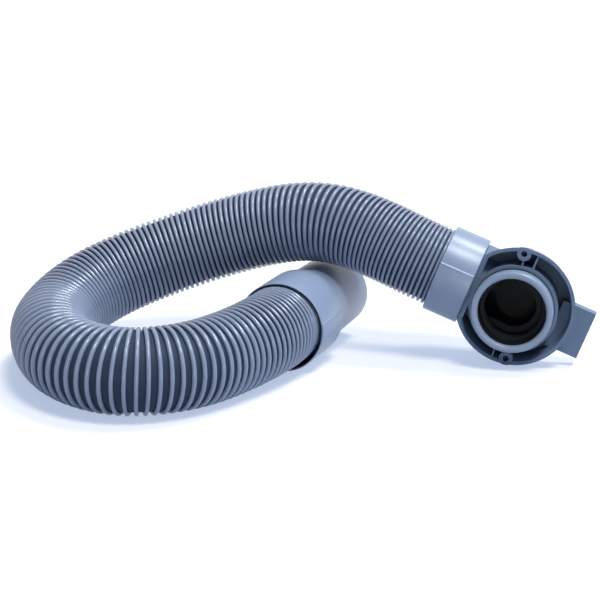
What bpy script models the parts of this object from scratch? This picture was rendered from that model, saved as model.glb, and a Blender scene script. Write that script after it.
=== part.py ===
"""Vacuum cleaner hose: a stretch hose lying in a bend, its two cuffs, the elbow housing and its nozzle.

Units are metres, +Z is up and Z = 0 is the surface that the hose lies on.
The elbow housing has a frame of its own: +X runs on from the hose, +Z out of the nozzle.
"""
import bpy
import bmesh
import math
import numpy as np
from mathutils import Matrix, Vector

MM = 0.001
GAP = 0.3 * MM                      # clearance between pieces that touch

# Stretch hose
HOSE_RADIUS = 21.0 * MM             # over the beads
HOSE_FILM_RADIUS = 18.7 * MM        # at the bottom of the grooves
HOSE_BORE_RADIUS = 17.25 * MM
HOSE_SIDES = 13
SEAM_TURN = -0.25                   # turns from the side: a row of corners lies lowest
BORE_STEP = 12.0 * MM               # spacing of the rings that the smooth bore is made of

# Cuff on the free end, lying on the surface
FREE_CUFF_RADIUS = 23.0 * MM
FREE_CUFF_LENGTH = 30.0 * MM
FREE_CUFF_MOUTH_RADIUS = 22.35 * MM
HOSE_SOCKET_DEPTH = 22.5 * MM
SPIGOT_RADIUS = 20.0 * MM
SPIGOT_TAPER = 0.35 * MM
SPIGOT_LENGTH = 46.4 * MM
FREE_CUFF_BACK = 9.3 * MM           # its rim, measured from the middle of the whole
FREE_CUFF_ASIDE = 9.7 * MM
FREE_CUFF_HEIGHT = 22.9 * MM
FREE_CUFF_HEADING = 80.0            # degrees from +X towards +Y
HOSE_SHIFT_IN_CUFF = Vector((-0.55, 0.0, 0.6)) * MM    # the hose isn't central in the wide mouth
STRAIGHT_RUN = 7.0 * MM             # the hose leaves each cuff straight for this far

# Cuff at the elbow
ELBOW_CUFF_RADIUS = 23.0 * MM
ELBOW_CUFF_LENGTH = 18.6 * MM
ELBOW_CUFF_MOUTH_RADIUS = 21.6 * MM
ELBOW_SOCKET_DEPTH = 10.0 * MM
CUFF_ROUND = 0.5 * MM

# Elbow housing: a D-shaped cup with a collar in it and a duct behind it
HOUSING_AHEAD = 105.8 * MM          # its centre, measured from the middle of the whole
HOUSING_ASIDE = 41.4 * MM
HOUSING_HEIGHT = 31.55 * MM
HOUSING_LEAN = 4.0                  # degrees that the cup leans back
DUCT_FALL = 21.0                    # degrees that the duct falls away from the hose
CUP_RADIUS = 30.5 * MM
CUP_DRAFT = 2.6 * MM                # the cup is this much narrower at its floor
CUP_WALL = 1.8 * MM
CUP_DEPTH = 16.0 * MM
CUP_FLOOR = 2.0 * MM
FLAT_SIDE = 24.4 * MM               # from the cup's centre to its flat side
FLAT_WALL = 2.2 * MM
COLLAR_SHIFT = Vector((-0.4, -1.5, 0.0)) * MM       # from the cup's centre to the collar's
COLLAR_RADIUS = 22.7 * MM
COLLAR_WALL = 1.6 * MM
COLLAR_PROUD = 0.3 * MM
DUCT_RADIUS = 21.0 * MM
DUCT_DEPTH = 15.0 * MM              # from the rim's plane down to the duct's axis
DUCT_BORE_RADIUS = 13.5 * MM
DUCT_SLEEVE_WALL = 1.4 * MM         # the duct's own wall where it crosses the hollow of the cup
NECK_RADIUS = 19.5 * MM
NECK_LENGTH = 7.0 * MM
SEAT_DEPTH = 4.0 * MM               # the nozzle's seat, below the rim's plane
CHAMBER_RADIUS = 14.7 * MM
CHAMBER_DEPTH = 10.0 * MM
PORT_RADIUS = 11.3 * MM             # from the chamber down into the duct
PORT_WALL = 2.0 * MM
BOSS_RADIUS = 3.6 * MM
BOSS_HOLE_RADIUS = 1.6 * MM
BOSS_INSET = 2.9 * MM               # from the cup's outside to the middle of a boss
BOSS_ANGLE = 103.4                  # degrees round from the duct's axis
BOSS_HOLE_DEPTH = 5.0 * MM
WEB_THICKNESS = 0.9 * MM
WEB_OFFSET = 0.65 * MM
WEB_DROP = 0.5 * MM                 # the webs stop this far below the rim
BLOCK_REACH = 39.2 * MM
BLOCK_WIDTH = 25.2 * MM
BLOCK_SIDE_SHIFT = -1.2 * MM
BLOCK_DROP = 8.0 * MM
BLOCK_THICKNESS = 7.0 * MM

# Outlet nozzle, seated in the collar
NOZZLE_BORE_RADIUS = 17.0 * MM
NOZZLE_PROUD = 9.7 * MM
NOZZLE_LIP_RADIUS = 14.7 * MM
NOZZLE_LIP_THICKNESS = 2.0 * MM
NOZZLE_ROUND = 1.3 * MM

OVERLAP = 0.4 * MM                  # how far pieces of one moulding run into each other

# How finely round shapes are divided
TURN_STEPS = 30
CUP_STEPS = 44
COLLAR_SIDES = 40
CHAMBER_SIDES = 28
BORE_SIDES = 24
BOSS_SIDES = 16
SCREW_HOLE_SIDES = 12
LINE_SAMPLES = 4000
SMOOTH_ANGLE = 60.0

# Spacing of the beads along the hose: it is slack at both ends and pulled out in the low bend.
# Each pair is the length from the end in the free cuff and the spacing there, in millimetres.
BEAD_SPACING = [
    (0, 2.4), (38, 2.6), (64, 4.2), (92, 4.1), (122, 3.4), (150, 4.7), (185, 5.9), (208, 6.0),
    (240, 3.8), (265, 3.05), (350, 3.05), (392, 3.5), (422, 2.45), (467, 2.4),
]

# The hose's way from the free cuff to the elbow, between the cuffs, in millimetres
ROUTE = [
    (-26.3, -31.3, 21.1), (-44.3, -57.8, 21.1), (-65.3, -68.3, 21.1), (-86.6, -63.3, 21.1),
    (-105.7, -46.6, 21.1), (-118.9, -22.1, 21.1), (-125.5, 3.7, 21.8), (-119.3, 28.0, 28.6),
    (-98.1, 48.1, 38.5), (-67.0, 61.9, 49.3), (-33.0, 68.0, 59.6), (-0.1, 66.8, 64.8),
    (31.9, 61.1, 58.9),
]


def clear_scene():
    for item in list(bpy.data.objects):
        bpy.data.objects.remove(item)


def collection(name):
    group = bpy.data.collections.new(name)
    bpy.context.scene.collection.children.link(group)
    return group


def plastic(name, colour, roughness):
    material = bpy.data.materials.new(name)
    material.use_nodes = True
    shader = material.node_tree.nodes["Principled BSDF"]
    shader.inputs["Base Color"].default_value = (*colour, 1.0)
    shader.inputs["Roughness"].default_value = roughness
    shader.inputs["Metallic"].default_value = 0.0
    return material


def add_object(name, mesh, group, material=None, parent=None, place=None):
    item = bpy.data.objects.new(name, mesh)
    group.objects.link(item)
    if material:
        mesh.materials.append(material)
    if parent:
        item.parent = parent
    if place is not None:
        item.matrix_local = place
    return item


def frame_empty(name, group, origin, x_axis, z_axis):
    """An empty whose axes are the given ones, for pieces that are easiest to place in it."""
    y_axis = z_axis.cross(x_axis)
    turn = Matrix((x_axis, y_axis, z_axis)).transposed().to_4x4()
    empty = bpy.data.objects.new(name, None)
    group.objects.link(empty)
    empty.matrix_world = Matrix.Translation(origin) @ turn
    return empty


def along_x(x, y, z):
    """Places a solid that was made about +Z so that it lies about +X, its start at the given point."""
    return Matrix.Translation((x, y, z)) @ Matrix.Rotation(math.radians(90.0), 4, "Y")


def turned(name, outline, group, material, parent=None, place=None):
    """A turned piece: a closed outline of (radius, height), outer side first and downwards."""
    mesh = bpy.data.meshes.new(name)
    points = [(radius, 0.0, height) for radius, height in outline]
    edges = [(i, (i + 1) % len(points)) for i in range(len(points))]
    mesh.from_pydata(points, edges, [])
    item = add_object(name, mesh, group, material, parent, place)
    screw = item.modifiers.new("Turn", "SCREW")
    screw.axis = "Z"
    screw.steps = TURN_STEPS
    screw.render_steps = TURN_STEPS
    screw.use_merge_vertices = True
    screw.merge_threshold = 0.00001
    screw.use_smooth_shade = False
    return item


def cylinder(name, radius, length, group, parent, place, sides):
    """A cylinder that starts at its place and runs along the place's own Z."""
    mesh = bpy.data.meshes.new(name)
    shape = bmesh.new()
    middle = Matrix.Translation((0.0, 0.0, length / 2))
    bmesh.ops.create_cone(shape, cap_ends=True, segments=sides, radius1=radius, radius2=radius,
                          depth=length, matrix=middle)
    shape.to_mesh(mesh)
    shape.free()
    return add_object(name, mesh, group, parent=parent, place=place)


def box(name, low, high, group, parent):
    mesh = bpy.data.meshes.new(name)
    shape = bmesh.new()
    size = Vector(high) - Vector(low)
    place = Matrix.Translation((Vector(high) + Vector(low)) / 2) @ Matrix.Diagonal((*size, 1.0))
    bmesh.ops.create_cube(shape, size=1.0, matrix=place)
    shape.to_mesh(mesh)
    shape.free()
    return add_object(name, mesh, group, parent=parent)


def ball(name, radius, centre, group, parent):
    mesh = bpy.data.meshes.new(name)
    shape = bmesh.new()
    bmesh.ops.create_uvsphere(shape, u_segments=BORE_SIDES, v_segments=BORE_SIDES // 2,
                              radius=radius, matrix=Matrix.Translation(centre))
    shape.to_mesh(mesh)
    shape.free()
    return add_object(name, mesh, group, parent=parent)


def d_plate(name, radius, flat, low, high, group, parent, material=None):
    """A D-shaped plate: a disc cut off at x = -flat, made as a flat curve and extruded."""
    half = math.acos(flat / radius)
    sweep = 2 * (math.pi - half)
    angles = [math.pi + half + i * sweep / CUP_STEPS for i in range(CUP_STEPS + 1)]
    outline = bpy.data.curves.new(name + "_outline", "CURVE")
    outline.dimensions = "2D"
    outline.fill_mode = "BOTH"
    outline.extrude = (high - low) / 2
    spline = outline.splines.new("POLY")
    spline.points.add(len(angles) - 1)
    for point, angle in zip(spline.points, angles):
        point.co = (radius * math.cos(angle), radius * math.sin(angle), 0.0, 1.0)
    spline.use_cyclic_u = True
    curve = bpy.data.objects.new(name + "_outline", outline)
    group.objects.link(curve)
    view = bpy.context.evaluated_depsgraph_get()
    mesh = bpy.data.meshes.new_from_object(curve.evaluated_get(view))
    bpy.data.objects.remove(curve)
    mesh.transform(Matrix.Translation((0.0, 0.0, (high + low) / 2)))
    weld(mesh)
    return add_object(name, mesh, group, material, parent)


def draft(item):
    """Narrows a piece of the cup towards its floor, as a mould needs, and keeps the flat side upright."""
    slope = CUP_DRAFT / CUP_RADIUS / CUP_DEPTH
    leftmost = min(vertex.co.x for vertex in item.data.vertices)
    for vertex in item.data.vertices:
        scale = 1.0 + slope * vertex.co.z
        if vertex.co.x > leftmost + OVERLAP:
            vertex.co.x *= scale
        vertex.co.y *= scale


def weld(mesh):
    shape = bmesh.new()
    shape.from_mesh(mesh)
    bmesh.ops.remove_doubles(shape, verts=shape.verts, dist=0.000001)
    bmesh.ops.recalc_face_normals(shape, faces=shape.faces)
    shape.to_mesh(mesh)
    shape.free()


def combine(item, other, operation):
    """Joins or cuts one solid with another that stays as a hidden tool."""
    other.hide_render = True
    other.display_type = "WIRE"
    step = item.modifiers.new(operation.title() + " " + other.name, "BOOLEAN")
    step.operation = operation
    step.object = other
    step.solver = "EXACT"


def cubic_through(points):
    """A natural cubic spline through the points: returns a function of the distance along them."""
    points = np.array(points)
    knots = np.concatenate(([0.0], np.cumsum(np.linalg.norm(np.diff(points, axis=0), axis=1))))
    step = np.diff(knots)
    slope = np.diff(points, axis=0) / step[:, None]
    count = len(points)
    matrix = np.eye(count)
    right = np.zeros((count, 3))
    for i in range(1, count - 1):
        matrix[i, i - 1:i + 2] = step[i - 1], 2 * (step[i - 1] + step[i]), step[i]
        right[i] = 6 * (slope[i] - slope[i - 1])
    bend = np.linalg.solve(matrix, right)

    def place(distance):
        i = np.clip(np.searchsorted(knots, distance, side="right") - 1, 0, count - 2)
        before = (knots[i + 1] - distance)[:, None]
        after = (distance - knots[i])[:, None]
        width = step[i][:, None]
        return (bend[i] * before ** 3 + bend[i + 1] * after ** 3) / (6 * width) \
            + (points[i] / width - bend[i] * width / 6) * before \
            + (points[i + 1] / width - bend[i + 1] * width / 6) * after

    return place, knots[-1]


def hose_line(points):
    """The hose's centre line: places and directions at every length along it."""
    place, reach = cubic_through(points)
    fine = place(np.linspace(0.0, reach, LINE_SAMPLES))
    run = np.concatenate(([0.0], np.cumsum(np.linalg.norm(np.diff(fine, axis=0), axis=1))))
    ahead = np.gradient(fine, run, axis=0)
    ahead /= np.linalg.norm(ahead, axis=1)[:, None]

    def at(length):
        centre = np.array([np.interp(length, run, fine[:, k]) for k in range(3)]).T
        forward = np.array([np.interp(length, run, ahead[:, k]) for k in range(3)]).T
        return centre, forward / np.linalg.norm(forward, axis=-1, keepdims=True)

    return at, run[-1]


def bead_lengths(total):
    """How many turns the bead makes, and the length along the hose as a function of the turn."""
    length = np.linspace(0.0, total, LINE_SAMPLES)
    known, spacing = np.array(BEAD_SPACING).T * MM
    pitch = np.interp(length, known, spacing)
    turns = np.concatenate(([0.0], np.cumsum(np.diff(length) / pitch[1:])))
    count = int(turns[-1])
    return count, lambda turn: np.interp(turn, turns * count / turns[-1], length)


def hose_ring(at, length, angle, radius):
    """Points round the hose. The line never stands upright, so +Z gives its sideways direction."""
    centre, forward = at(length)
    side = np.cross(forward, (0.0, 0.0, 1.0))
    side /= np.linalg.norm(side, axis=-1, keepdims=True)
    up = np.cross(side, forward)
    return centre + radius * (np.cos(angle)[:, None] * side + np.sin(angle)[:, None] * up)


def hose(points, group, material):
    """A tube whose outside is wound: each row of the skin climbs one pitch in one turn.

    Rows go bottom of groove, top of bead, bottom of groove. A row ends where the row after
    the next begins, so the bead is one left-handed helix: on the near side it climbs forwards.
    """
    at, total = hose_line(points)
    count, start_of = bead_lengths(total)
    sides = HOSE_SIDES
    share = np.arange(sides) / sides
    angle = 2 * math.pi * (share + SEAM_TURN)
    rows = 2 * (count - 1)
    verts = []
    for row in range(rows + 1):
        radius = HOSE_RADIUS if row % 2 else HOSE_FILM_RADIUS
        verts.extend(hose_ring(at, start_of(row / 2 + share), angle, radius))
    first_bore = len(verts)
    ends = start_of(0.0), start_of(rows / 2 + share[-1])
    bore_rows = round((ends[1] - ends[0]) / BORE_STEP)
    for length in np.linspace(*ends, bore_rows + 1):
        verts.extend(hose_ring(at, np.full(sides, length), angle, HOSE_BORE_RADIUS))

    def skin(row, side):
        return (row + 2 * (side // sides)) * sides + side % sides

    def bore(row, side):
        return first_bore + row * sides + side % sides

    last = sides - 1
    faces = []
    for row in range(rows):
        for side in range(sides if row + 3 <= rows else last):
            near, ahead = skin(row, side), skin(row + 1, side)
            faces.append((near, ahead, skin(row + 1, side + 1), skin(row, side + 1)))
    for row in range(bore_rows):
        for side in range(sides):
            near, ahead = bore(row, side), bore(row + 1, side)
            faces.append((near, bore(row, side + 1), bore(row + 1, side + 1), ahead))
    for side in range(last):
        faces.append((skin(0, side), skin(0, side + 1), bore(0, side + 1), bore(0, side)))
        inner, outer = bore(bore_rows, side), skin(rows, side)
        faces.append((inner, bore(bore_rows, side + 1), skin(rows, side + 1), outer))
    start_step = [bore(0, last), bore(0, 0), skin(0, 0), skin(1, 0), skin(2, 0)]
    end_step = [bore(bore_rows, 0), bore(bore_rows, last)]
    end_step += [skin(rows, last), skin(rows - 1, last), skin(rows - 2, last)]
    for corner, far in zip(start_step, start_step[1:]):
        faces.append((skin(0, last), far, corner))
    for corner, far in zip(end_step, end_step[1:]):
        faces.append((skin(rows, 0), far, corner))
    mesh = bpy.data.meshes.new("hose")
    mesh.from_pydata([tuple(v) for v in verts], [], faces)
    mesh.shade_smooth()
    mesh.set_sharp_from_angle(angle=math.radians(SMOOTH_ANGLE))
    return add_object("hose", mesh, group, material)


def free_end_cuff(group, material, place):
    top = FREE_CUFF_LENGTH + SPIGOT_LENGTH
    tip = SPIGOT_RADIUS - SPIGOT_TAPER
    outline = [
        (tip - CUFF_ROUND, top),
        (tip, top - CUFF_ROUND),
        (SPIGOT_RADIUS, FREE_CUFF_LENGTH),
        (FREE_CUFF_RADIUS - CUFF_ROUND, FREE_CUFF_LENGTH),
        (FREE_CUFF_RADIUS, FREE_CUFF_LENGTH - CUFF_ROUND),
        (FREE_CUFF_RADIUS, 0.0),
        (FREE_CUFF_MOUTH_RADIUS, 0.0),
        (FREE_CUFF_MOUTH_RADIUS, HOSE_SOCKET_DEPTH),
        (HOSE_BORE_RADIUS, HOSE_SOCKET_DEPTH),
        (HOSE_BORE_RADIUS, top),
    ]
    return turned("free_end_cuff", outline, group, material, place=place)


def elbow_cuff(group, material, parent, place):
    outline = [
        (ELBOW_CUFF_RADIUS, ELBOW_CUFF_LENGTH),
        (ELBOW_CUFF_RADIUS, CUFF_ROUND),
        (ELBOW_CUFF_RADIUS - CUFF_ROUND, 0.0),
        (ELBOW_CUFF_MOUTH_RADIUS, 0.0),
        (ELBOW_CUFF_MOUTH_RADIUS, ELBOW_SOCKET_DEPTH),
        (NECK_RADIUS + GAP, ELBOW_SOCKET_DEPTH),
        (NECK_RADIUS + GAP, ELBOW_CUFF_LENGTH),
    ]
    return turned("elbow_cuff", outline, group, material, parent, place)


def outlet_nozzle(group, material, parent):
    outer = COLLAR_RADIUS - COLLAR_WALL - GAP
    rear = -SEAT_DEPTH + GAP
    bite = NOZZLE_ROUND * (1.0 - math.sqrt(0.5))
    outline = [
        (outer - NOZZLE_ROUND, NOZZLE_PROUD),
        (outer - bite, NOZZLE_PROUD - bite),
        (outer, NOZZLE_PROUD - NOZZLE_ROUND),
        (outer, rear),
        (NOZZLE_LIP_RADIUS, rear),
        (NOZZLE_LIP_RADIUS, rear + NOZZLE_LIP_THICKNESS),
        (NOZZLE_BORE_RADIUS, rear + 2 * NOZZLE_LIP_THICKNESS),
        (NOZZLE_BORE_RADIUS, NOZZLE_PROUD - NOZZLE_ROUND),
        (NOZZLE_BORE_RADIUS + NOZZLE_ROUND, NOZZLE_PROUD),
    ]
    return turned("outlet_nozzle", outline, group, material, parent, Matrix.Translation(COLLAR_SHIFT))


def web_across(name, side, near, far, group, parent):
    """A thin wall in the cup that runs away from its axis along +Y, or along -Y if side is -1."""
    low, high = sorted((side * near, side * far))
    half = WEB_THICKNESS / 2
    bottom = -CUP_DEPTH + CUP_FLOOR - OVERLAP
    return box(name, (-half, low, bottom), (half, high, -WEB_DROP), group, parent)


def elbow_housing(group, tools, material, parent):
    """One moulding: the D-shaped cup, its collar, bosses and webs, the duct behind it and the block."""

    def about_collar(name, radius, low, high, sides):
        return cylinder(name, radius, high - low, tools, parent,
                        Matrix.Translation(COLLAR_SHIFT + Vector((0.0, 0.0, low))), sides)

    item = d_plate("elbow_housing", CUP_RADIUS, FLAT_SIDE, -CUP_DEPTH, 0.0, group, parent, material)
    draft(item)
    floor = -CUP_DEPTH + CUP_FLOOR
    inner_radius = CUP_RADIUS - CUP_WALL
    root = COLLAR_RADIUS - COLLAR_WALL / 2

    duct = cylinder("duct", DUCT_RADIUS, FLAT_SIDE - OVERLAP, tools, parent,
                    along_x(-FLAT_SIDE, 0.0, -DUCT_DEPTH), TURN_STEPS)
    combine(item, duct, "UNION")
    duct_end = ball("duct_end", DUCT_RADIUS, (0.0, 0.0, -DUCT_DEPTH), tools, parent)
    combine(item, duct_end, "UNION")
    neck = cylinder("neck", NECK_RADIUS, NECK_LENGTH + OVERLAP, tools, parent,
                    along_x(-FLAT_SIDE - NECK_LENGTH, 0.0, -DUCT_DEPTH), TURN_STEPS)
    combine(item, neck, "UNION")

    front = d_plate("front_cut", CUP_RADIUS + CUP_WALL, FLAT_SIDE + OVERLAP, 0.0,
                    DUCT_RADIUS, tools, parent)
    combine(item, front, "DIFFERENCE")
    hollow = d_plate("cup_hollow", inner_radius, FLAT_SIDE - FLAT_WALL, floor, OVERLAP, tools, parent)
    draft(hollow)
    combine(item, hollow, "DIFFERENCE")

    block_side = BLOCK_SIDE_SHIFT - BLOCK_WIDTH / 2
    block_low = (root + COLLAR_SHIFT.x, block_side, -BLOCK_DROP - BLOCK_THICKNESS)
    block_high = (BLOCK_REACH, block_side + BLOCK_WIDTH, -BLOCK_DROP)
    combine(item, box("block", block_low, block_high, tools, parent), "UNION")
    collar = about_collar("collar", COLLAR_RADIUS, floor - OVERLAP, COLLAR_PROUD, COLLAR_SIDES)
    combine(item, collar, "UNION")
    sleeve = cylinder("duct_sleeve", DUCT_BORE_RADIUS + DUCT_SLEEVE_WALL, FLAT_SIDE - 2 * OVERLAP, tools,
                      parent, along_x(OVERLAP - FLAT_SIDE, 0.0, -DUCT_DEPTH), TURN_STEPS)
    combine(item, sleeve, "UNION")

    boss_angle = math.radians(BOSS_ANGLE)
    to_boss = Vector((math.cos(boss_angle), math.sin(boss_angle), 0.0))
    boss_limit = d_plate("boss_limit", CUP_RADIUS + OVERLAP, FLAT_SIDE, -CUP_DEPTH, OVERLAP, tools, parent)
    draft(boss_limit)
    boss_circle = CUP_RADIUS - BOSS_INSET
    for side, tag in ((1.0, "upper"), (-1.0, "lower")):
        centre = to_boss * boss_circle * side
        boss = cylinder("boss_" + tag, BOSS_RADIUS, OVERLAP - floor, tools, parent,
                        Matrix.Translation(centre + Vector((0.0, 0.0, floor - OVERLAP))), BOSS_SIDES)
        combine(boss, boss_limit, "INTERSECT")
        combine(item, boss, "UNION")
        web_root = root + side * COLLAR_SHIFT.y
        web = web_across("web_" + tag, side, web_root, inner_radius + CUP_WALL / 2, tools, parent)
        draft(web)
        web.matrix_local = Matrix.Translation((WEB_OFFSET * side, 0.0, 0.0))
        combine(item, web, "UNION")
        boss_side = boss_circle - BOSS_HOLE_RADIUS - OVERLAP
        tie_root = root + side * COLLAR_SHIFT.dot(to_boss)
        tie = web_across("tie_" + tag, side, tie_root, boss_side, tools, parent)
        tie.matrix_local = Matrix.Rotation(boss_angle - math.radians(90.0), 4, "Z")
        combine(item, tie, "UNION")
        hole = cylinder("hole_" + tag, BOSS_HOLE_RADIUS, BOSS_HOLE_DEPTH + OVERLAP, tools, parent,
                        Matrix.Translation(centre - Vector((0.0, 0.0, BOSS_HOLE_DEPTH))),
                        SCREW_HOLE_SIDES)
        combine(item, hole, "DIFFERENCE")

    seat = about_collar("seat_cut", COLLAR_RADIUS - COLLAR_WALL, -SEAT_DEPTH, COLLAR_PROUD + OVERLAP,
                        COLLAR_SIDES)
    combine(item, seat, "DIFFERENCE")
    chamber = about_collar("chamber_cut", CHAMBER_RADIUS, -CHAMBER_DEPTH, 0.0, CHAMBER_SIDES)
    combine(item, chamber, "DIFFERENCE")
    port_reach = PORT_RADIUS + PORT_WALL + COLLAR_SHIFT.length
    port_depth = DUCT_DEPTH + math.sqrt(DUCT_RADIUS ** 2 - port_reach ** 2)
    port = about_collar("port_cut", PORT_RADIUS, -port_depth, 0.0, CHAMBER_SIDES)
    combine(item, port, "DIFFERENCE")
    bore = cylinder("duct_bore", DUCT_BORE_RADIUS, FLAT_SIDE + NECK_LENGTH + OVERLAP, tools, parent,
                    along_x(-FLAT_SIDE - NECK_LENGTH - OVERLAP, 0.0, -DUCT_DEPTH), BORE_SIDES)
    combine(item, bore, "DIFFERENCE")
    return item


def build():
    clear_scene()
    parts = collection("vacuum_hose")
    tools = collection("cutters")
    hose_plastic = plastic("hose_film", (0.18, 0.20, 0.25), 0.35)
    cuff_plastic = plastic("cuff_plastic", (0.33, 0.38, 0.48), 0.40)
    housing_plastic = plastic("housing_plastic", (0.10, 0.125, 0.16), 0.45)

    heading = math.radians(FREE_CUFF_HEADING)
    out_of_cuff = Vector((math.cos(heading), math.sin(heading), 0.0))
    cuff_turn = out_of_cuff.to_track_quat("Z", "Y").to_matrix().to_4x4()
    free_cuff_rim = Vector((-FREE_CUFF_BACK, FREE_CUFF_ASIDE, FREE_CUFF_HEIGHT))
    free_end_cuff(parts, cuff_plastic, Matrix.Translation(free_cuff_rim) @ cuff_turn)

    lean = math.radians(HOUSING_LEAN)
    fall = math.radians(DUCT_FALL)
    outward = Vector((0.0, -math.cos(lean), math.sin(lean)))
    upward = Vector((0.0, math.sin(lean), math.cos(lean)))
    onward = Vector((1.0, 0.0, 0.0)) * math.cos(fall) - upward * math.sin(fall)
    housing_centre = Vector((HOUSING_AHEAD, HOUSING_ASIDE, HOUSING_HEIGHT))
    elbow = frame_empty("elbow_frame", parts, housing_centre, onward, outward)
    elbow_housing(parts, tools, housing_plastic, elbow)
    outlet_nozzle(parts, cuff_plastic, elbow)
    cuff_start = -FLAT_SIDE - GAP - ELBOW_CUFF_LENGTH
    elbow_cuff(parts, cuff_plastic, elbow, along_x(cuff_start, 0.0, -DUCT_DEPTH))

    first = free_cuff_rim + HOSE_SHIFT_IN_CUFF
    duct_axis = housing_centre - outward * DUCT_DEPTH
    rim = duct_axis + onward * cuff_start
    route = [first + out_of_cuff * (HOSE_SOCKET_DEPTH - GAP), first, first - out_of_cuff * STRAIGHT_RUN]
    route += [Vector(point) * MM for point in ROUTE]
    route += [rim - onward * STRAIGHT_RUN, rim, rim + onward * (ELBOW_SOCKET_DEPTH - GAP)]
    hose(route, parts, hose_plastic)


build()
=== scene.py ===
"""Looks of the vacuum cleaner hose: wound stretch hose, moulded cuffs, elbow housing and nozzle.

Everything is in metres in the frame's own axes: +Z up, the hose lies on Z = 0.
"""
import math

import bmesh
import bpy
import numpy as np
from mathutils import Matrix, Vector


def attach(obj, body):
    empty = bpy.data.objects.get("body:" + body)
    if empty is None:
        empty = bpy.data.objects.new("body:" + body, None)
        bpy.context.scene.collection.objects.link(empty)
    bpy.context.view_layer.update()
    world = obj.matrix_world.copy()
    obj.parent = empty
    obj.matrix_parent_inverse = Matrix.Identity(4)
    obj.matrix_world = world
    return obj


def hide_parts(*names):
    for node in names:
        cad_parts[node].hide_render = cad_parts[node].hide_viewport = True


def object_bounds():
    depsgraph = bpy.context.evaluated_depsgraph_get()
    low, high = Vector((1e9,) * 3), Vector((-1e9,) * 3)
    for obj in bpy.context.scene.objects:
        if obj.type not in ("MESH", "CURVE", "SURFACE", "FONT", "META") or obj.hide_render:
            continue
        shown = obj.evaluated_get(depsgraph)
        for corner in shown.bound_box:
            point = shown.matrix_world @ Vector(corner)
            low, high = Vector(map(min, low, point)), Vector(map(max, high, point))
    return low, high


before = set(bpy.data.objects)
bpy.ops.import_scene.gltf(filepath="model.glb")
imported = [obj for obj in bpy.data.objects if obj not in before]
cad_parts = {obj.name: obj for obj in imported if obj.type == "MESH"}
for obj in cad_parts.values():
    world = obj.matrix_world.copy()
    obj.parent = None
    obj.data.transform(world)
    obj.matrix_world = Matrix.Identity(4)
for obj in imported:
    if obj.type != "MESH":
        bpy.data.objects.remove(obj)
cad_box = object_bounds()

MM = 0.001

# Camera: where it stands, how far it looks down and round in degrees, and its lens in millimetres
CAMERA_PLACE = Vector((0.1705, -0.8163, 0.2798))
CAMERA_DOWN = 16.0
CAMERA_ROUND = 11.6
CAMERA_LENS = 105.0
CAMERA_SENSOR = 36.0

# Stretch hose
HOSE_RADIUS = 21.0 * MM             # over the beads
FILM_RADIUS = 19.1 * MM
FILM_THICKNESS = 1.8 * MM
BEAD_SIDES = 10
FILM_SIDES = 64
STEPS_PER_TURN = 36
FILM_ROWS = 260
SEAM_TURN = -0.25                   # the bead starts at the bottom of the hose
BEAD_SPACING = [                    # length from the free end and spacing there, in millimetres
    (0, 2.4), (38, 2.6), (64, 4.2), (92, 4.1), (122, 3.4), (150, 4.7), (185, 5.9), (208, 6.0),
    (240, 3.8), (265, 3.05), (350, 3.05), (392, 3.5), (422, 2.45), (467, 2.4),
]
BEAD_WIDENING = [                   # spacing and the bead's radius there, in millimetres
    (2.4, 0.9), (3.05, 1.0), (4.2, 1.25), (6.0, 1.5),
]
LINE_SAMPLES = 4000

# Cuff on the free end
FREE_CUFF_RIM = Vector((-9.3, 9.7, 22.9)) * MM
FREE_CUFF_HEADING = 80.0            # degrees from +X towards +Y
FREE_CUFF_RADIUS = 23.0 * MM
FREE_CUFF_LENGTH = 30.0 * MM
FREE_CUFF_MOUTH_RADIUS = 22.35 * MM
FREE_CUFF_EDGE = 0.3 * MM           # its rounded edges
FREE_CUFF_SHOULDER = 0.9 * MM       # the rounding where the sleeve steps down to the spigot
HOSE_SOCKET_DEPTH = 22.5 * MM
HOSE_BORE_RADIUS = 17.25 * MM
SPIGOT_RADIUS = 20.0 * MM
SPIGOT_TAPER = 0.35 * MM
SPIGOT_LENGTH = 46.4 * MM
HOSE_SHIFT_IN_CUFF = Vector((-0.55, 0.0, 0.6)) * MM     # the hose isn't central in the mouth
STRAIGHT_RUN = 7.0 * MM             # the hose leaves each cuff straight for this far
PANEL_ANGLES = (170.3, 197.2)       # degrees: the raised strip between the two parting lines
PANEL_RIDGES = ((170.3, 171.8), (195.7, 197.2))
PANEL_HEIGHT = 0.3 * MM

# Cuff at the elbow
ELBOW_CUFF_RADIUS = 23.0 * MM
ELBOW_CUFF_LENGTH = 18.6 * MM
ELBOW_CUFF_MOUTH_RADIUS = 21.6 * MM
ELBOW_CUFF_EDGE = 0.4 * MM
ELBOW_SOCKET_DEPTH = 10.0 * MM
NECK_RADIUS = 19.5 * MM             # the housing's neck, which the cuff sits on
RIDGE_ANGLES = (161.0, 162.6)       # degrees: the parting line that stands proud of the cuff
RIDGE_HEIGHT = 0.3 * MM

# Elbow housing
HOUSING_CENTRE = Vector((105.8, 41.4, 31.55)) * MM
HOUSING_LEAN = 4.0                  # degrees that the nozzle looks up
DUCT_FALL = 21.0                    # degrees that the duct falls away from the hose
DUCT_DEPTH = 15.0 * MM
FLAT_SIDE = 24.4 * MM               # from the cup's centre to its flat side
GAP = 0.3 * MM                      # clearance between the pieces

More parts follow.
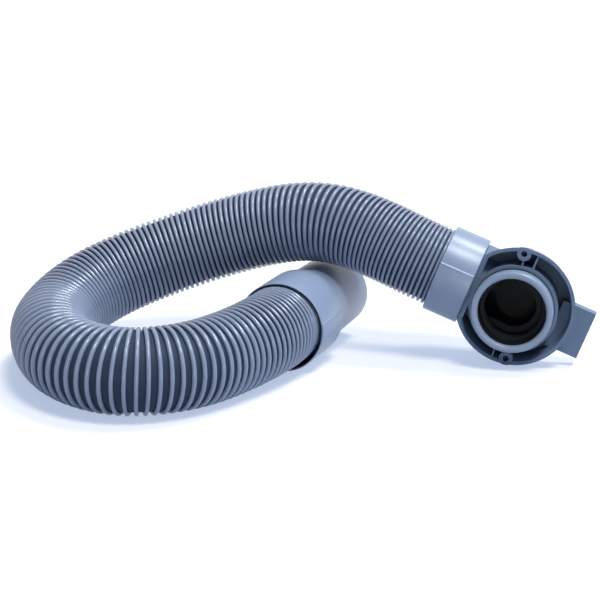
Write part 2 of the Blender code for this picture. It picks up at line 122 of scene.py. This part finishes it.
# Outlet nozzle: a light ring moulded over a dark tube
NOZZLE_SHIFT = Vector((-0.4, -1.5, 0.0)) * MM       # from the housing's centre
NOZZLE_RADIUS = 20.8 * MM
NOZZLE_BORE_RADIUS = 17.0 * MM
NOZZLE_PROUD = 9.7 * MM
NOZZLE_REAR = -3.7 * MM
NOZZLE_WAIST_RADIUS = 20.0 * MM     # inside the collar, which leaves a dark gap round it
NOZZLE_WAIST_TOP = 1.6 * MM
NOZZLE_STEP_RADIUS = 14.7 * MM
NOZZLE_STEP_THICKNESS = 2.0 * MM
NOZZLE_OUTER_EDGE = 1.1 * MM
NOZZLE_INNER_EDGE = 1.4 * MM
NOZZLE_STEP_EDGE = 0.6 * MM
NOZZLE_SKIN = 0.3 * MM              # the light ring ends this far inside the tube's bore
CHAMBER_RADIUS = 14.7 * MM          # behind the nozzle; the housing's faces there get painted shade, the tube's dark colour
DUCT_BORE_RADIUS = 13.5 * MM

TURN_STEPS = 240
SHARP_ANGLE = 40.0                  # degrees: flatter edges than this are shaded smooth
MERGE_DISTANCE = MM / 500

# Plastics: real sizes of their patterns, and how much they mirror
CLOUD_SIZE = 15.4 * MM              # flow clouds in the colour of a moulding
GRAIN_SIZE = 0.4 * MM               # coarser than the real grain, which would be too fine to show
GRAIN_HEIGHT = 0.03 * MM
GRAIN_STRENGTH = 0.12
ROUGHNESS_SPREAD = 0.05
RIPPLE_SIZE = 1.54 * MM             # unevenness along the wound bead
RIPPLE_HEIGHT = 0.08 * MM
RIPPLE_STRENGTH = 0.3
ABS_IOR = 1.53
MATT_ABS_IOR = 1.2                  # below that of ABS, because a rough grain swallows its shine
PVC_IOR = 1.54
BEAD_ROUGHNESS = 0.2
FILM_ROUGHNESS = 0.62
BEAD_SPECULAR = 0.5
FILM_SPECULAR = 0.12
PAPER_ROUGHNESS = 0.9

# Sockets of a colour mix node, which has several of each name
MIX_FIRST = 6
MIX_SECOND = 7
MIX_RESULT = 2

# Studio: the floor, the room's light and the lamps
FLOOR_HALF = 3.0
FLOOR_DROP = 0.1 * MM               # below the lowest point of the hose
ROOM_BRIGHT_WAY = (0.8, 0.6, 0.0)   # behind the hose and to its right
ROOM_STRENGTH = {"From Min": -0.5, "From Max": 0.7, "To Min": 0.07, "To Max": 0.8}
SOFTBOXES = [                       # name, strength and the way to each from the hose
    ("front_softbox", 2.3, (0.31, -0.26, 0.91)),
    ("back_softbox", 1.9, (0.35, 0.30, 0.89)),
]
SOFTBOX_ANGLE = 17.0                # degrees that a softbox fills, seen from the hose
SOFTBOX_COLOUR = (0.92, 0.96, 1.0)
LOW_LAMP_PLACE = (0.25, -1.1, 0.06)
LOW_LAMP_WIDTH = 0.10
LOW_LAMP_POWER = 1.6

# The hose's way between the cuffs, from the free cuff to the elbow, in millimetres
ROUTE = [
    (-26.3, -31.3, 21.1), (-44.3, -57.8, 21.1), (-65.3, -68.3, 21.1), (-86.6, -63.3, 21.1),
    (-105.7, -46.6, 21.1), (-118.9, -22.1, 21.1), (-125.5, 3.7, 21.8), (-119.3, 28.0, 28.6),
    (-98.1, 48.1, 38.5), (-67.0, 61.9, 49.3), (-33.0, 68.0, 59.6), (-0.1, 66.8, 64.8),
    (31.9, 61.1, 58.9),
]


def camera():
    lens = bpy.data.cameras.new("photo_camera")
    lens.lens = CAMERA_LENS
    lens.sensor_width = CAMERA_SENSOR
    item = link(bpy.data.objects.new("photo_camera", lens))
    item.location = CAMERA_PLACE
    item.rotation_euler = (math.radians(90.0 - CAMERA_DOWN), 0.0, math.radians(CAMERA_ROUND))
    bpy.context.scene.camera = item


def link(item):
    bpy.context.collection.objects.link(item)
    return item


def linear(colour):
    """An sRGB hex colour as the linear values that a shader takes."""
    parts = [int(colour[i:i + 2], 16) / 255 for i in (1, 3, 5)]
    return tuple(c / 12.92 if c <= 0.04045 else ((c + 0.055) / 1.055) ** 2.4 for c in parts) + (1.0,)


def add_node(tree, kind, settings=(), inputs=()):
    """A node with its settings, and its inputs by name or number: a value or another's output."""
    node = tree.nodes.new(kind)
    for name, value in dict(settings).items():
        setattr(node, name, value)
    for key, value in dict(inputs).items():
        socket = node.inputs[key]
        if isinstance(value, bpy.types.NodeSocket):
            tree.links.new(value, socket)
        else:
            socket.default_value = value
    return node


# Frames of the pieces

def cuff_frame():
    heading = math.radians(FREE_CUFF_HEADING)
    out = Vector((math.cos(heading), math.sin(heading), 0.0))
    return out, Matrix.Translation(FREE_CUFF_RIM) @ out.to_track_quat("Z", "Y").to_matrix().to_4x4()


def elbow_frame():
    """The elbow's own axes: +X on from the hose, +Z out of the nozzle."""
    lean = math.radians(HOUSING_LEAN)
    fall = math.radians(DUCT_FALL)
    outward = Vector((0.0, -math.cos(lean), math.sin(lean)))
    upward = Vector((0.0, math.sin(lean), math.cos(lean)))
    onward = Vector((1.0, 0.0, 0.0)) * math.cos(fall) - upward * math.sin(fall)
    turn = Matrix((onward, outward.cross(onward), outward)).transposed().to_4x4()
    return onward, outward, Matrix.Translation(HOUSING_CENTRE) @ turn


def hose_route():
    """The route's points: straight out of the free cuff, along the bend, straight into the elbow."""
    out_of_cuff, _ = cuff_frame()
    onward, outward, _ = elbow_frame()
    first = FREE_CUFF_RIM + HOSE_SHIFT_IN_CUFF
    rim = HOUSING_CENTRE - outward * DUCT_DEPTH - onward * (FLAT_SIDE + GAP + ELBOW_CUFF_LENGTH)
    route = [first + out_of_cuff * (HOSE_SOCKET_DEPTH - GAP), first, first - out_of_cuff * STRAIGHT_RUN]
    route += [Vector(point) * MM for point in ROUTE]
    route += [rim - onward * STRAIGHT_RUN, rim, rim + onward * (ELBOW_SOCKET_DEPTH - GAP)]
    return np.array(route), rim


def cubic_through(points):
    """A natural cubic spline through the points, as a function of the distance along them."""
    knots = np.concatenate(([0.0], np.cumsum(np.linalg.norm(np.diff(points, axis=0), axis=1))))
    step = np.diff(knots)
    slope = np.diff(points, axis=0) / step[:, None]
    count = len(points)
    matrix = np.eye(count)
    right = np.zeros((count, 3))
    for i in range(1, count - 1):
        matrix[i, i - 1:i + 2] = step[i - 1], 2 * (step[i - 1] + step[i]), step[i]
        right[i] = 6 * (slope[i] - slope[i - 1])
    bend = np.linalg.solve(matrix, right)

    def place(distance):
        i = np.clip(np.searchsorted(knots, distance, side="right") - 1, 0, count - 2)
        before = (knots[i + 1] - distance)[:, None]
        after = (distance - knots[i])[:, None]
        width = step[i][:, None]
        return (bend[i] * before ** 3 + bend[i + 1] * after ** 3) / (6 * width) \
            + (points[i] / width - bend[i] * width / 6) * before \
            + (points[i + 1] / width - bend[i + 1] * width / 6) * after

    return place, knots[-1]


def hose_line(route):
    """Places, directions and lengths along the hose's centre line."""
    place, reach = cubic_through(route)
    points = place(np.linspace(0.0, reach, LINE_SAMPLES))
    run = np.concatenate(([0.0], np.cumsum(np.linalg.norm(np.diff(points, axis=0), axis=1))))
    ahead = np.gradient(points, run, axis=0)
    ahead /= np.linalg.norm(ahead, axis=1)[:, None]
    return points, ahead, run


def along(length, run, values):
    """The line's values at the given lengths along it."""
    return np.stack([np.interp(length, run, values[:, k]) for k in range(3)], axis=1)


def bead_line(points, ahead, run):
    """The middle of the bead, and its radius: a left-handed helix that opens where the hose is pulled."""
    known, spacing = np.array(BEAD_SPACING).T * MM
    pitch = np.interp(run, known, spacing)
    turns = np.concatenate(([0.0], np.cumsum(np.diff(run) / pitch[1:])))
    steps = np.arange(int(turns[-1] * STEPS_PER_TURN) + 1) / STEPS_PER_TURN
    length = np.interp(steps, turns, run)
    forward = along(length, run, ahead)
    side = np.cross(forward, (0.0, 0.0, 1.0))
    side /= np.linalg.norm(side, axis=1)[:, None]
    up = np.cross(side, forward)
    angle = 2 * math.pi * (steps + SEAM_TURN)[:, None]
    out = np.cos(angle) * side + np.sin(angle) * up
    spacing, widths = np.array(BEAD_WIDENING).T * MM
    radius = np.interp(np.interp(length, run, pitch), spacing, widths)
    return along(length, run, points) + (HOSE_RADIUS - radius)[:, None] * out, radius


# Geometry Nodes: tubes that follow a line

def swept_tube_tree():
    """Sweeps a round section along the chain of points in the modifier's mesh, and marks it."""
    tree = bpy.data.node_groups.new("swept_tube", "GeometryNodeTree")
    face = tree.interface
    face.new_socket("Geometry", in_out="INPUT", socket_type="NodeSocketGeometry")
    sizes = {}
    for name, kind in (("Sides", "NodeSocketInt"), ("Capped", "NodeSocketBool"),
                       ("Groove", "NodeSocketFloat"), ("Material", "NodeSocketMaterial")):
        sizes[name] = face.new_socket(name, in_out="INPUT", socket_type=kind).identifier
    face.new_socket("Geometry", in_out="OUTPUT", socket_type="NodeSocketGeometry")
    given = add_node(tree, "NodeGroupInput").outputs
    line = add_node(tree, "GeometryNodeMeshToCurve", inputs={"Mesh": given["Geometry"]})
    wide = add_node(tree, "GeometryNodeInputNamedAttribute", {"data_type": "FLOAT"}, {"Name": "wide"})
    section = add_node(tree, "GeometryNodeCurvePrimitiveCircle",
                       inputs={"Resolution": given["Sides"], "Radius": 1.0})
    tube = add_node(tree, "GeometryNodeCurveToMesh",
                    inputs={"Curve": line.outputs["Curve"], "Profile Curve": section.outputs["Curve"],
                            "Scale": wide.outputs["Attribute"], "Fill Caps": given["Capped"]})
    smooth = add_node(tree, "GeometryNodeSetShadeSmooth", inputs={"Geometry": tube.outputs["Mesh"]})
    marked = add_node(tree, "GeometryNodeStoreNamedAttribute", {"data_type": "FLOAT", "domain": "POINT"},
                      {"Geometry": smooth.outputs[0], "Name": "groove", "Value": given["Groove"]})
    real = add_node(tree, "GeometryNodeRealizeInstances", inputs={"Geometry": marked.outputs[0]})
    coloured = add_node(tree, "GeometryNodeSetMaterial",
                        inputs={"Geometry": real.outputs[0], "Material": given["Material"]})
    add_node(tree, "NodeGroupOutput", inputs={0: coloured.outputs[0]})
    return tree, sizes


def plain_mesh(item):
    """Applies an object's modifiers: its mesh becomes what they make."""
    bpy.context.view_layer.update()
    view = bpy.context.evaluated_depsgraph_get()
    made = bpy.data.meshes.new_from_object(item.evaluated_get(view))
    item.modifiers.clear()
    item.data = made
    return item


def swept(name, line, radius, tree, sizes, values, wall=0.0):
    """A tube along a line, of one radius for each of its points, solid or with a wall."""
    mesh = bpy.data.meshes.new(name)
    mesh.from_pydata(line.tolist(), [(i, i + 1) for i in range(len(line) - 1)], [])
    mesh.attributes.new("wide", "FLOAT", "POINT").data.foreach_set("value", radius)
    item = link(bpy.data.objects.new(name, mesh))
    sweep = item.modifiers.new("Sweep", "NODES")
    sweep.node_group = tree
    for key, value in values.items():
        sweep[sizes[key]] = value
    if wall:
        shell = item.modifiers.new("Wall", "SOLIDIFY")
        shell.thickness = wall
        shell.offset = -1.0
    return plain_mesh(item)


def joined(name, items, material):
    """One object made of several, which are removed."""
    whole = bmesh.new()
    for item in items:
        whole.from_mesh(item.data)
        bpy.data.objects.remove(item)
    mesh = bpy.data.meshes.new(name)
    whole.to_mesh(mesh)
    whole.free()
    mesh.materials.append(material)
    return link(bpy.data.objects.new(name, mesh))


def wound_hose(material):
    """The film tube with its bead wound round it, its centre line's points from the elbow end back, and
    the rim at the elbow. The film tube with its bead wound round it, and what the cord check needs of
    its route.
    """
    route, rim = hose_route()
    points, ahead, run = hose_line(route)
    tree, sizes = swept_tube_tree()
    bead = swept("bead", *bead_line(points, ahead, run), tree, sizes,
                 {"Sides": BEAD_SIDES, "Capped": True, "Groove": 0.0, "Material": material})
    rows = along(np.linspace(0.0, run[-1], FILM_ROWS), run, points)
    film = swept("film", rows, np.full(FILM_ROWS, FILM_RADIUS), tree, sizes,
                 {"Sides": FILM_SIDES, "Capped": False, "Groove": 1.0, "Material": material},
                 FILM_THICKNESS)
    return joined("wound_hose", [bead, film], material), rows[::-1].tolist(), rim


# Turned and moulded pieces

def arc(centre, radius, start, end, steps=6):
    """Points of a rounded edge in a turned outline, from one angle to another in degrees."""
    angles = [math.radians(start + (end - start) * i / steps) for i in range(steps + 1)]
    return [(centre[0] + radius * math.cos(a), centre[1] + radius * math.sin(a)) for a in angles]


def turned(name, outline, material):
    """A turned piece about Z: a closed outline of (radius, height), outer side first and downwards."""
    mesh = bpy.data.meshes.new(name)
    points = [(radius, 0.0, height) for radius, height in outline]
    mesh.from_pydata(points, [(i, (i + 1) % len(points)) for i in range(len(points))], [])
    mesh.materials.append(material)
    item = link(bpy.data.objects.new(name, mesh))
    screw = item.modifiers.new("Turn", "SCREW")
    screw.axis = "Z"
    screw.steps = TURN_STEPS
    screw.render_steps = TURN_STEPS
    screw.use_merge_vertices = True
    screw.merge_threshold = MM / 1000
    return plain_mesh(item)


def raise_strip(item, angles, outside, height):
    """Lifts the outer skin of a turned piece between two angles round it, in degrees."""
    for vertex in item.data.vertices:
        radius = math.hypot(vertex.co.x, vertex.co.y)
        angle = math.degrees(math.atan2(vertex.co.y, vertex.co.x)) % 360.0
        if radius > outside and angles[0] < angle < angles[1]:
            vertex.co.x *= 1.0 + height / radius
            vertex.co.y *= 1.0 + height / radius


def put(item, place):
    """Moves a piece's mesh to its place and shades it smooth, apart from its sharp edges."""
    item.data.transform(place)
    item.data.shade_smooth()
    item.data.set_sharp_from_angle(angle=math.radians(SHARP_ANGLE))
    return item


def free_cuff(material):
    """The sleeve over the hose and the tapered spigot beyond it, with their parting lines."""
    top = FREE_CUFF_LENGTH + SPIGOT_LENGTH
    tip = SPIGOT_RADIUS - SPIGOT_TAPER
    edge = FREE_CUFF_EDGE
    shoulder = FREE_CUFF_SHOULDER
    outline = arc((tip - edge, top - edge), edge, 90.0, 0.0)
    outline += [(SPIGOT_RADIUS, FREE_CUFF_LENGTH)]
    outline += arc((FREE_CUFF_RADIUS - shoulder, FREE_CUFF_LENGTH - shoulder), shoulder, 90.0, 0.0)
    outline += arc((FREE_CUFF_RADIUS - edge, edge), edge, 0.0, -90.0)
    outline += arc((FREE_CUFF_MOUTH_RADIUS + edge, edge), edge, -90.0, -180.0)
    outline += [(FREE_CUFF_MOUTH_RADIUS, HOSE_SOCKET_DEPTH), (HOSE_BORE_RADIUS, HOSE_SOCKET_DEPTH)]
    outline += arc((HOSE_BORE_RADIUS + edge, top - edge), edge, 180.0, 90.0)
    item = turned("free_cuff", outline, material)
    for angles in (PANEL_ANGLES, *PANEL_RIDGES):
        raise_strip(item, angles, FREE_CUFF_RADIUS - edge, PANEL_HEIGHT)
    return put(item, cuff_frame()[1])


def elbow_cuff(material):
    """The sleeve between the hose and the housing, with its one parting line."""
    edge = ELBOW_CUFF_EDGE
    bore = NECK_RADIUS + GAP
    outline = arc((ELBOW_CUFF_RADIUS - edge, ELBOW_CUFF_LENGTH - edge), edge, 90.0, 0.0)
    outline += arc((ELBOW_CUFF_RADIUS - edge, edge), edge, 0.0, -90.0)
    outline += arc((ELBOW_CUFF_MOUTH_RADIUS + edge, edge), edge, -90.0, -180.0)
    outline += [(ELBOW_CUFF_MOUTH_RADIUS, ELBOW_SOCKET_DEPTH), (bore, ELBOW_SOCKET_DEPTH)]
    outline += [(bore, ELBOW_CUFF_LENGTH)]
    item = turned("moulded_elbow_cuff", outline, material)
    raise_strip(item, RIDGE_ANGLES, ELBOW_CUFF_RADIUS - edge, RIDGE_HEIGHT)
    start = Matrix.Translation((-FLAT_SIDE - GAP - ELBOW_CUFF_LENGTH, 0.0, -DUCT_DEPTH))
    return put(item, elbow_frame()[2] @ start @ Matrix.Rotation(math.radians(90.0), 4, "Y"))


def nozzle(ring_material, tube_material):
    """The outlet: a rounded light ring, and the dark tube inside it with its step."""
    outer = NOZZLE_OUTER_EDGE
    inner = NOZZLE_INNER_EDGE
    step_edge = NOZZLE_STEP_EDGE
    step = NOZZLE_REAR + NOZZLE_STEP_THICKNESS
    ring_edge = NOZZLE_BORE_RADIUS + NOZZLE_SKIN
    outline = arc((NOZZLE_RADIUS - outer, NOZZLE_PROUD - outer), outer, 90.0, 0.0)
    outline += [(NOZZLE_RADIUS, NOZZLE_WAIST_TOP), (NOZZLE_WAIST_RADIUS, NOZZLE_WAIST_TOP - GAP)]
    outline += [(NOZZLE_WAIST_RADIUS, NOZZLE_REAR), (NOZZLE_STEP_RADIUS, NOZZLE_REAR)]
    outline += arc((NOZZLE_STEP_RADIUS + step_edge, step - step_edge), step_edge, 180.0, 90.0)
    outline += arc((NOZZLE_BORE_RADIUS - step_edge, step + step_edge), step_edge, -90.0, 0.0)
    outline += [(NOZZLE_BORE_RADIUS, NOZZLE_PROUD - 2 * inner), (ring_edge, NOZZLE_PROUD - 2 * inner)]
    outline += arc((ring_edge + inner, NOZZLE_PROUD - inner), inner, 180.0, 90.0)
    item = turned("turned_nozzle", outline, ring_material)
    item.data.materials.append(tube_material)
    for face in item.data.polygons:
        if math.hypot(face.center.x, face.center.y) < ring_edge - MM / 100:
            face.material_index = 1
    return put(item, elbow_frame()[2] @ Matrix.Translation(NOZZLE_SHIFT))


def moulded_housing(material, passage_shade_material):
    """A copy of the CAD housing whose loose triangles are merged, with painted shade on its deep passage
    in the tube's dark colour.
    """
    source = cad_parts["elbow_housing"]
    shape = bmesh.new()
    shape.from_mesh(source.data)
    bmesh.ops.remove_doubles(shape, verts=shape.verts, dist=MERGE_DISTANCE)
    mesh = bpy.data.meshes.new("moulded_housing")
    shape.to_mesh(mesh)
    shape.free()
    # The CAD's own corner normals would be blended across the merged edges
    mesh.attributes.remove(mesh.attributes["custom_normal"])
    mesh.materials.append(material)
    mesh.materials.append(passage_shade_material)
    item = put(link(bpy.data.objects.new("moulded_housing", mesh)), source.matrix_world)
    to_elbow = elbow_frame()[2].inverted()
    # Painted shade: the chamber and duct faces deep in the passage take the dark tube material
    for face in mesh.polygons:
        spot = to_elbow @ face.center
        in_chamber = (spot - NOZZLE_SHIFT).xy.length < CHAMBER_RADIUS + GAP
        in_duct = spot.x < 0.0 and math.hypot(spot.y, spot.z + DUCT_DEPTH) < DUCT_BORE_RADIUS + GAP
        if -2 * DUCT_DEPTH - GAP < spot.z < NOZZLE_REAR and (in_chamber or in_duct):
            face.material_index = 1
    return item


# Materials

def moulded_abs(name, light, dark, roughness, shine=ABS_IOR):
    """Injection-moulded ABS: an even, satin wall with faint flow clouds and a fine spark-eroded grain."""
    material = bpy.data.materials.new(name)
    material.use_nodes = True
    tree = material.node_tree
    shader = tree.nodes["Principled BSDF"]
    spot = add_node(tree, "ShaderNodeTexCoord").outputs["Object"]
    # The clouds keep a wide plain wall from looking like one flat colour
    clouds = add_node(tree, "ShaderNodeTexNoise",
                      inputs={"Vector": spot, "Scale": 1.0 / CLOUD_SIZE, "Detail": 3.0})
    colour = add_node(tree, "ShaderNodeMix", {"data_type": "RGBA"},
                      {"Factor": clouds.outputs["Fac"], MIX_FIRST: linear(dark),
                       MIX_SECOND: linear(light)})
    tree.links.new(colour.outputs[MIX_RESULT], shader.inputs["Base Color"])
    rough = add_node(tree, "ShaderNodeMapRange",
                     inputs={"Value": clouds.outputs["Fac"], "To Min": roughness - ROUGHNESS_SPREAD,
                             "To Max": roughness + ROUGHNESS_SPREAD})
    tree.links.new(rough.outputs["Result"], shader.inputs["Roughness"])
    # The grain breaks up the highlights
    grain = add_node(tree, "ShaderNodeTexNoise",
                     inputs={"Vector": spot, "Scale": 1.0 / GRAIN_SIZE, "Detail": 1.0})
    relief = add_node(tree, "ShaderNodeBump",
                      inputs={"Strength": GRAIN_STRENGTH, "Distance": GRAIN_HEIGHT,
                              "Height": grain.outputs["Fac"]})
    tree.links.new(relief.outputs["Normal"], shader.inputs["Normal"])
    shader.inputs["IOR"].default_value = shine
    return material


def wound_pvc(name):
    """Wound soft PVC: glossy where the bead stands out, and dull on the film between its turns, which is
    painted darker as painted shade in the grooves.
    """
    material = bpy.data.materials.new(name)
    material.use_nodes = True
    tree = material.node_tree
    shader = tree.nodes["Principled BSDF"]
    groove = add_node(tree, "ShaderNodeAttribute", {"attribute_name": "groove"}).outputs["Fac"]
    # The film's darker colour is painted shade: it stands in for the shade in the grooves between the
    # bead's turns
    colour = add_node(tree, "ShaderNodeMix", {"data_type": "RGBA"},
                      {"Factor": groove, MIX_FIRST: linear("#7f8a9f"), MIX_SECOND: linear("#323c4e")})
    tree.links.new(colour.outputs[MIX_RESULT], shader.inputs["Base Color"])
    # The stretched film is duller than the bead, so no lamp shows on it
    sheen = add_node(tree, "ShaderNodeMapRange",
                     inputs={"Value": groove, "To Min": BEAD_ROUGHNESS, "To Max": FILM_ROUGHNESS})
    tree.links.new(sheen.outputs["Result"], shader.inputs["Roughness"])
    gloss = add_node(tree, "ShaderNodeMapRange",
                     inputs={"Value": groove, "To Min": BEAD_SPECULAR, "To Max": FILM_SPECULAR})
    tree.links.new(gloss.outputs["Result"], shader.inputs["Specular IOR Level"])
    # The ripples make the highlight on each bead waver
    spot = add_node(tree, "ShaderNodeTexCoord").outputs["Object"]
    ripple = add_node(tree, "ShaderNodeTexNoise",
                      inputs={"Vector": spot, "Scale": 1.0 / RIPPLE_SIZE, "Detail": 2.0})
    relief = add_node(tree, "ShaderNodeBump",
                      inputs={"Strength": RIPPLE_STRENGTH, "Distance": RIPPLE_HEIGHT,
                              "Height": ripple.outputs["Fac"]})
    tree.links.new(relief.outputs["Normal"], shader.inputs["Normal"])
    shader.inputs["IOR"].default_value = PVC_IOR
    return material


def white_for_the_camera(tree, studio, white, output):
    """The camera, reflections and glass see the second shader, and all other light the first."""
    path = add_node(tree, "ShaderNodeLightPath").outputs
    indirect = add_node(tree, "ShaderNodeMath", {"operation": "MAXIMUM"},
                        {0: path["Is Glossy Ray"], 1: path["Is Transmission Ray"]})
    seen = add_node(tree, "ShaderNodeMath", {"operation": "MAXIMUM"},
                    {0: path["Is Camera Ray"], 1: indirect.outputs[0]})
    mix = add_node(tree, "ShaderNodeMixShader", inputs={0: seen.outputs[0], 1: studio, 2: white})
    tree.links.new(mix.outputs[0], output.inputs["Surface"])


def floor_material():
    """White paper under bright light: it clips to white and keeps the object's pale blue shadow."""
    material = bpy.data.materials.new("white_paper")
    material.use_nodes = True
    tree = material.node_tree
    paper = tree.nodes["Principled BSDF"]
    paper.inputs["Base Color"].default_value = linear("#c0cbdc")
    paper.inputs["Roughness"].default_value = PAPER_ROUGHNESS
    shadowed = add_node(tree, "ShaderNodeBsdfDiffuse", inputs={"Color": linear("#cabfae")})
    glow = add_node(tree, "ShaderNodeEmission", inputs={"Color": linear("#aebbd4"), "Strength": 1.0})
    both = add_node(tree, "ShaderNodeAddShader", inputs={0: shadowed.outputs[0], 1: glow.outputs[0]})
    white_for_the_camera(tree, paper.outputs[0], both.outputs[0], tree.nodes["Material Output"])
    return material


def stage():
    """The sheet of paper that the hose lies on."""
    half = FLOOR_HALF
    mesh = bpy.data.meshes.new("floor")
    corners = [(-half, -half, 0.0), (half, -half, 0.0), (half, half, 0.0), (-half, half, 0.0)]
    mesh.from_pydata(corners, [], [(0, 1, 2, 3)])
    mesh.materials.append(floor_material())
    floor = link(bpy.data.objects.new("floor", mesh))
    floor.location.z = cad_box[0][2] - FLOOR_DROP


def studio_world():
    """Bright behind the hose and to its right and dim in front of it, which leaves the hollows dark."""
    world = bpy.data.worlds.new("studio")
    bpy.context.scene.world = world
    world.use_nodes = True
    tree = world.node_tree
    way = add_node(tree, "ShaderNodeTexCoord").outputs["Generated"]
    across = add_node(tree, "ShaderNodeVectorMath", {"operation": "DOT_PRODUCT"},
                      {0: way, 1: ROOM_BRIGHT_WAY}).outputs["Value"]
    strength = add_node(tree, "ShaderNodeMapRange", inputs={"Value": across, **ROOM_STRENGTH})
    room = tree.nodes["Background"]
    room.inputs["Color"].default_value = linear("#cadcfa")
    tree.links.new(strength.outputs["Result"], room.inputs["Strength"])
    white = add_node(tree, "ShaderNodeBackground", inputs={"Color": linear("#ffffff")})
    white_for_the_camera(tree, room.outputs[0], white.outputs[0], tree.nodes["World Output"])


def lights():
    """Two softboxes above, and a small low lamp that only shows as dots on glossy edges."""
    for name, strength, towards in SOFTBOXES:
        sun = bpy.data.lights.new(name, "SUN")
        sun.angle = math.radians(SOFTBOX_ANGLE)
        sun.energy = strength
        sun.color = SOFTBOX_COLOUR
        item = link(bpy.data.objects.new(name, sun))
        item.rotation_euler = Vector(towards).to_track_quat("Z", "Y").to_euler()
    lamp = bpy.data.lights.new("low_lamp", "AREA")
    lamp.size = LOW_LAMP_WIDTH
    lamp.energy = LOW_LAMP_POWER
    item = link(bpy.data.objects.new("low_lamp", lamp))
    item.location = LOW_LAMP_PLACE
    item.rotation_euler = item.location.to_track_quat("Z", "Y").to_euler()
    item.visible_diffuse = False


camera()
pvc = wound_pvc("wound_pvc")
cuff_abs = moulded_abs("moulded_abs_cuff", "#8a98ae", "#818fa5", 0.34)
ring_abs = moulded_abs("moulded_abs_ring", "#8c9aae", "#8391a5", 0.34)
# The nozzle tube's dark plastic, which also paints shade on the housing's deep passage
tube_and_shade_abs = moulded_abs("moulded_abs_tube", "#181b21", "#13161b", 0.45, MATT_ABS_IOR)
housing_abs = moulded_abs("moulded_abs_housing", "#76859a", "#6e7d92", 0.50, MATT_ABS_IOR)

hose, hose_path, hose_exit = wound_hose(pvc)
cuff = free_cuff(cuff_abs)
pieces = [
    (hose, "hose", "hose_film"),
    (cuff, "free_end_cuff", "cuff_plastic"),
    (elbow_cuff(cuff_abs), "elbow_cuff", "cuff_plastic"),
    (moulded_housing(housing_abs, tube_and_shade_abs), "elbow_housing", "housing_plastic"),
    (nozzle(ring_abs, tube_and_shade_abs), "outlet_nozzle", "nozzle_plastic"),
]
for piece, node, slot in pieces:
    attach(piece, "root")
    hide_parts(node)
stage()
studio_world()
lights()
bpy.context.scene.view_settings.view_transform = "Standard"
